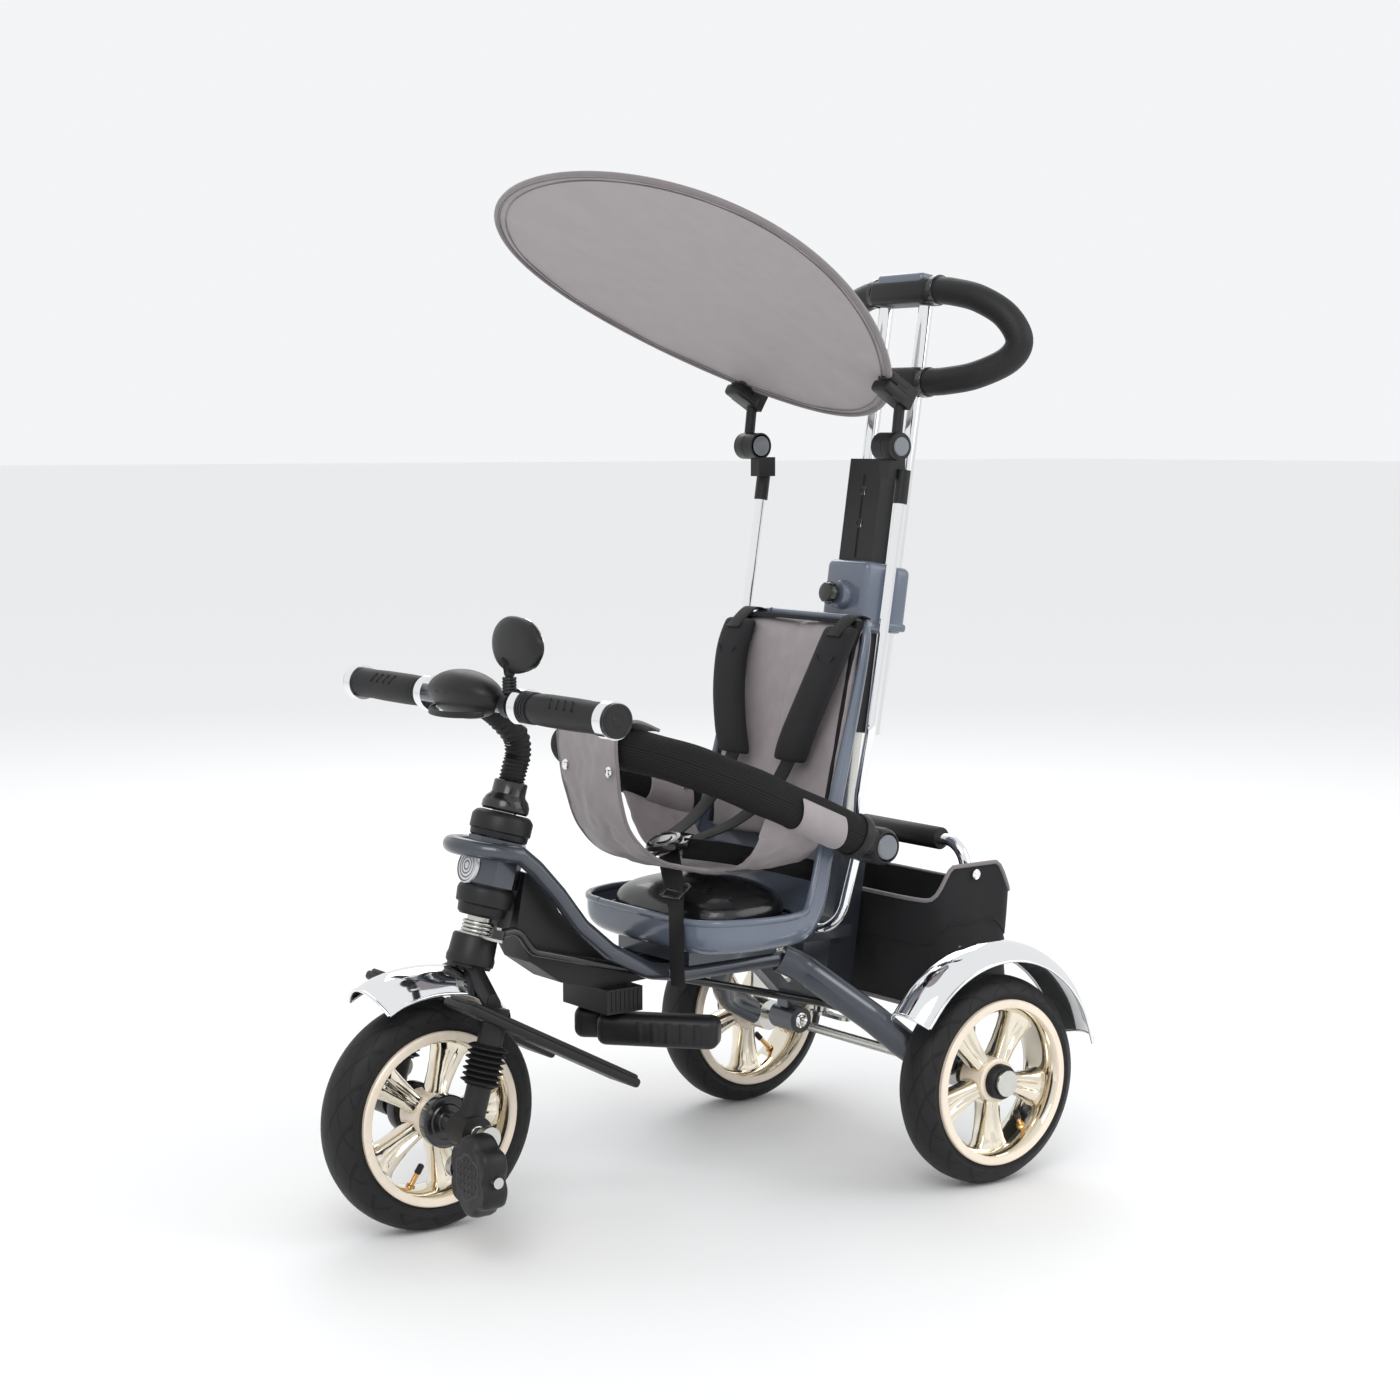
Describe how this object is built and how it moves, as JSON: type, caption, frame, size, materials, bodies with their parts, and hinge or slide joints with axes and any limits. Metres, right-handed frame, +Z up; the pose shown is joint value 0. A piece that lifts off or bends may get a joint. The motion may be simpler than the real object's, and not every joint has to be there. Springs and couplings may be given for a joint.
{
  "type": "children's tricycle",
  "caption": "Children's tricycle with a steering push bar, bucket seat with a padded bumper bar, tilting round sunshade, footrests and rear basket.",
  "frame": {"origin": "centre of the footprint's bounding box, on the ground", "axes": "+X to the rider's left, +Y to the rear, +Z up; the front wheel points along -Y"},
  "size_m": [0.553, 0.9203, 1.182],
  "materials": {
    "frame_paint": "dark blue-grey metallic paint",
    "black_plastic": "black moulded nylon, fine grain",
    "shell_plastic": "glossy blue-grey moulding",
    "chrome": "polished chrome",
    "zinc": "zinc-plated steel",
    "tyre_rubber": "black air tyre with a curved road tread",
    "rim_plating": "warm champagne plating",
    "fork_rubber": "black rubber and foam",
    "grey_fabric": "warm grey satin-faced canvas",
    "black_vinyl": "glossy black vinyl",
    "black_mesh": "black spacer mesh over foam",
    "black_canvas": "black polyester canvas",
    "webbing": "black woven webbing",
    "mirror_face": "mirror"
  },
  "bodies": {
    "frame": {"head_tube": "frame_paint", "headset_cups": "black_plastic", "frame_loop": "frame_paint", "belly_cover": "black_plastic", "seat_post": "frame_paint", "rear_legs": "frame_paint", "rear_axle": "zinc", "rear_fenders": "chrome", "seat_shell": "shell_plastic", "seat_cushion": "black_vinyl", "back_cover": "grey_fabric", "harness": "webbing", "canopy_tube": "chrome", "pivot_barrels": "black_plastic", "canopy_knuckles": "black_plastic", "basket": "black_canvas", "luggage_tube": "chrome", "luggage_foam": "fork_rubber"},
    "fork": {"fork_legs": "black_plastic", "fork_bellows": "fork_rubber", "fork_crown": "black_plastic", "steerer_stem": "zinc", "stem_boot": "fork_rubber", "stem_dome": "black_plastic", "handlebar_tube": "frame_paint", "handlebar_pod": "black_plastic", "grips": "fork_rubber", "grip_rings": "chrome", "mirror_stalk": "black_plastic", "footrest_plates": "black_plastic", "front_fender": "chrome", "steering_arm": "zinc"},
    "mirror": {"mirror_shell": "black_plastic", "mirror_glass": "mirror_face"},
    "front_wheel": {"front_tyre": "tyre_rubber", "front_rim": "rim_plating", "crankshaft": "zinc"},
    "pedal_left": {"pedal_left": "black_plastic"},
    "pedal_right": {"pedal_right": "black_plastic"},
    "rear_wheel_left": {"rear_tyre_left": "tyre_rubber", "rear_rim_left": "rim_plating"},
    "rear_wheel_right": {"rear_tyre_right": "tyre_rubber", "rear_rim_right": "rim_plating"},
    "push_turn": {"push_shaft": "zinc", "steering_lever": "zinc", "push_collar": "shell_plastic"},
    "push_slide": {"push_tubes": "chrome", "push_channel": "black_plastic", "handle_hub": "black_plastic", "handle_foam": "fork_rubber"},
    "knob": {"push_knob": "black_plastic"},
    "rod": {"steering_rod": "zinc"},
    "canopy": {"canopy_disc": "grey_fabric", "canopy_arms": "black_plastic"},
    "bumper": {"bumper_bar": "black_mesh", "bumper_sling": "grey_fabric"},
    "button_left": {"bumper_button_left": "black_plastic"},
    "button_right": {"bumper_button_right": "black_plastic"},
    "peg_left": {"peg_left": "black_plastic"},
    "peg_right": {"peg_right": "black_plastic"}
  },
  "joints": [
    {"name": "steer", "type": "hinge", "parent": "frame", "child": "fork", "pos_m": [0, -0.24478, 0.4], "axis": [0, 0.2756, 0.9613], "range_deg": [-35, 35]},
    {"name": "front_wheel_spin", "type": "hinge", "parent": "fork", "child": "front_wheel", "pos_m": [0, -0.3302, 0.13], "axis": [1, 0, 0], "continuous": true},
    {"name": "pedal_left_spin", "type": "hinge", "parent": "front_wheel", "child": "pedal_left", "pos_m": [0.169, -0.36836, 0.10615], "axis": [1, 0, 0], "continuous": true},
    {"name": "pedal_right_spin", "type": "hinge", "parent": "front_wheel", "child": "pedal_right", "pos_m": [-0.169, -0.29204, 0.15385], "axis": [1, 0, 0], "continuous": true},
    {"name": "rear_wheel_left_spin", "type": "hinge", "parent": "frame", "child": "rear_wheel_left", "pos_m": [0.2385, 0.2978, 0.125], "axis": [1, 0, 0], "continuous": true},
    {"name": "rear_wheel_right_spin", "type": "hinge", "parent": "frame", "child": "rear_wheel_right", "pos_m": [-0.2385, 0.2978, 0.125], "axis": [1, 0, 0], "continuous": true},
    {"name": "push_turn", "type": "hinge", "parent": "frame", "child": "push_turn", "pos_m": [0, 0.2388, 0.171], "axis": [0, 0.1478, 0.989], "range_deg": [-36, 36]},
    {"name": "push_height", "type": "slide", "parent": "push_turn", "child": "push_slide", "axis": [0, 0.1478, 0.989], "range_m": [-0.11, 0]},
    {"name": "knob_pull", "type": "slide", "parent": "push_turn", "child": "knob", "axis": [0, -0.989, 0.1478], "range_m": [0, 0.006], "stiffness_N_per_m": 300, "springref_m": -0.002},
    {"name": "steering_rod_hinge", "type": "hinge", "parent": "fork", "child": "rod", "pos_m": [0.044, -0.26628, 0.325], "axis": [0, 0.2756, 0.9613], "range_deg": [-36, 36]},
    {"name": "canopy_tilt", "type": "hinge", "parent": "frame", "child": "canopy", "pos_m": [0, 0.2308, 0.874], "axis": [1, 0, 0], "range_deg": [-8, 25]},
    {"name": "bumper_lift", "type": "hinge", "parent": "frame", "child": "bumper", "pos_m": [0, 0.1998, 0.403], "axis": [-1, 0, 0], "range_deg": [0, 30], "deforming": ["harness"]},
    {"name": "button_left_press", "type": "slide", "parent": "bumper", "child": "button_left", "axis": [-1, 0, 0], "range_m": [0, 0.004], "stiffness_N_per_m": 400, "springref_m": -0.002},
    {"name": "button_right_press", "type": "slide", "parent": "bumper", "child": "button_right", "axis": [1, 0, 0], "range_m": [0, 0.004], "stiffness_N_per_m": 400, "springref_m": -0.002},
    {"name": "peg_left_fold", "type": "hinge", "parent": "frame", "child": "peg_left", "pos_m": [0.024, -0.0932, 0.2], "axis": [0, 0, 1], "range_deg": [-42, 46]},
    {"name": "peg_right_fold", "type": "hinge", "parent": "frame", "child": "peg_right", "pos_m": [-0.024, -0.0932, 0.2], "axis": [0, 0, 1], "range_deg": [-46, 42]},
    {"name": "mirror_swivel", "type": "hinge", "parent": "fork", "child": "mirror", "pos_m": [0.072, -0.2642, 0.625], "axis": [0, 0, 1], "range_deg": [-20, 20]}
  ],
  "couplings": [
    {"joint": "push_turn", "follows": "steer", "ratio": 1},
    {"joint": "steering_rod_hinge", "follows": "steer", "ratio": -1}
  ]
}
